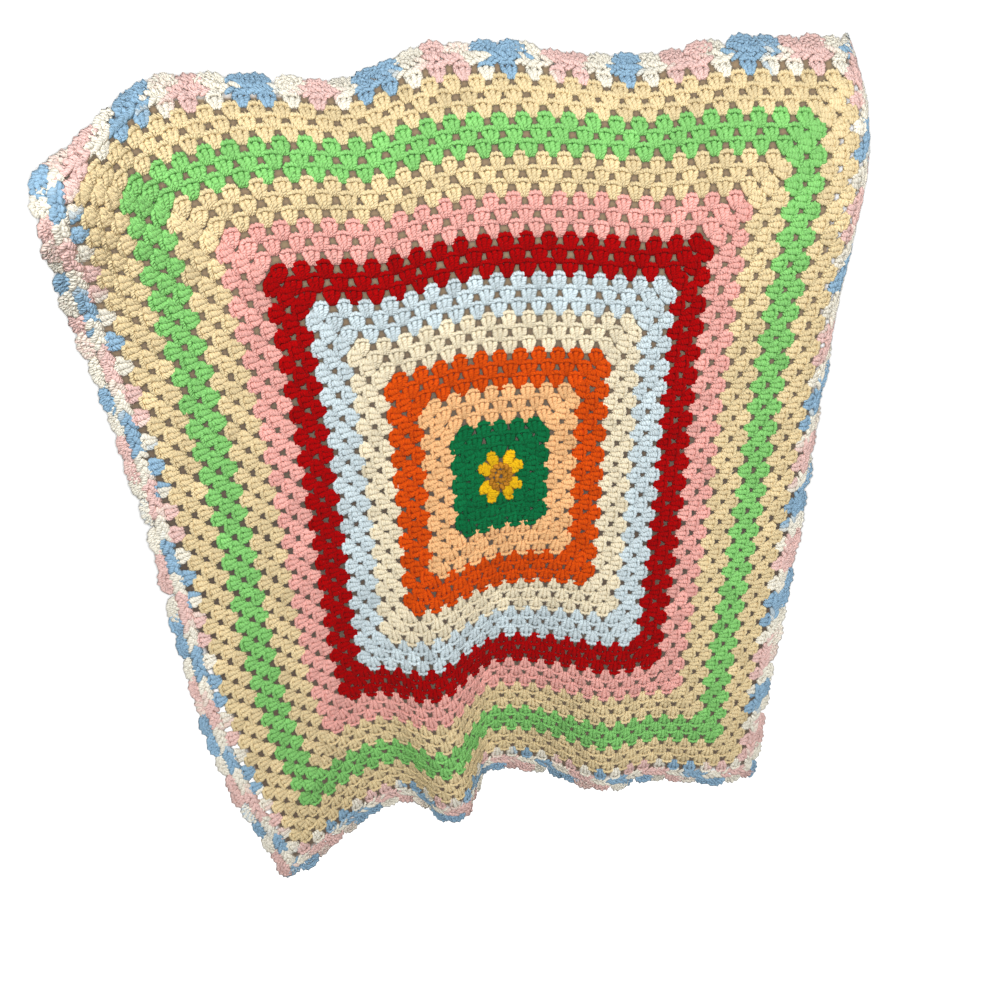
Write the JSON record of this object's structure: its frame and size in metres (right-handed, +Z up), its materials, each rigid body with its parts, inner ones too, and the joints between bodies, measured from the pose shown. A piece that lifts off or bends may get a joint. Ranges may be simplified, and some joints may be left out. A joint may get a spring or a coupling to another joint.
{
  "type": "crochet afghan",
  "caption": "Square crocheted afghan in coloured rounds of open clusters with a scalloped edge, hanging in soft folds from its top edge.",
  "frame": {"origin": "middle of the top edge, halfway through the cloth", "axes": "+X to the right as seen from the front, the front faces -Y, +Z up; as it hangs"},
  "size_m": [0.8956, 0.2619, 1.0831],
  "materials": {
    "tan_yarn": "soft matte acrylic yarn, tan",
    "gold_yarn": "soft matte acrylic yarn, gold",
    "yellow_yarn": "soft matte acrylic yarn, yellow",
    "dark_green_yarn": "soft matte acrylic yarn, dark green",
    "peach_yarn": "soft matte acrylic yarn, peach",
    "orange_yarn": "soft matte acrylic yarn, burnt orange",
    "cream_yarn": "soft matte acrylic yarn, cream",
    "light_blue_yarn": "soft matte acrylic yarn, pale blue",
    "red_yarn": "soft matte acrylic yarn, red",
    "pink_yarn": "soft matte acrylic yarn, rose pink",
    "light_green_yarn": "soft matte acrylic yarn, light green",
    "variegated_yarn": "soft matte acrylic yarn, white, pink and blue in turn"
  },
  "bodies": {
    "root": {"afghan": "tan_yarn"}
  },
  "joints": []
}
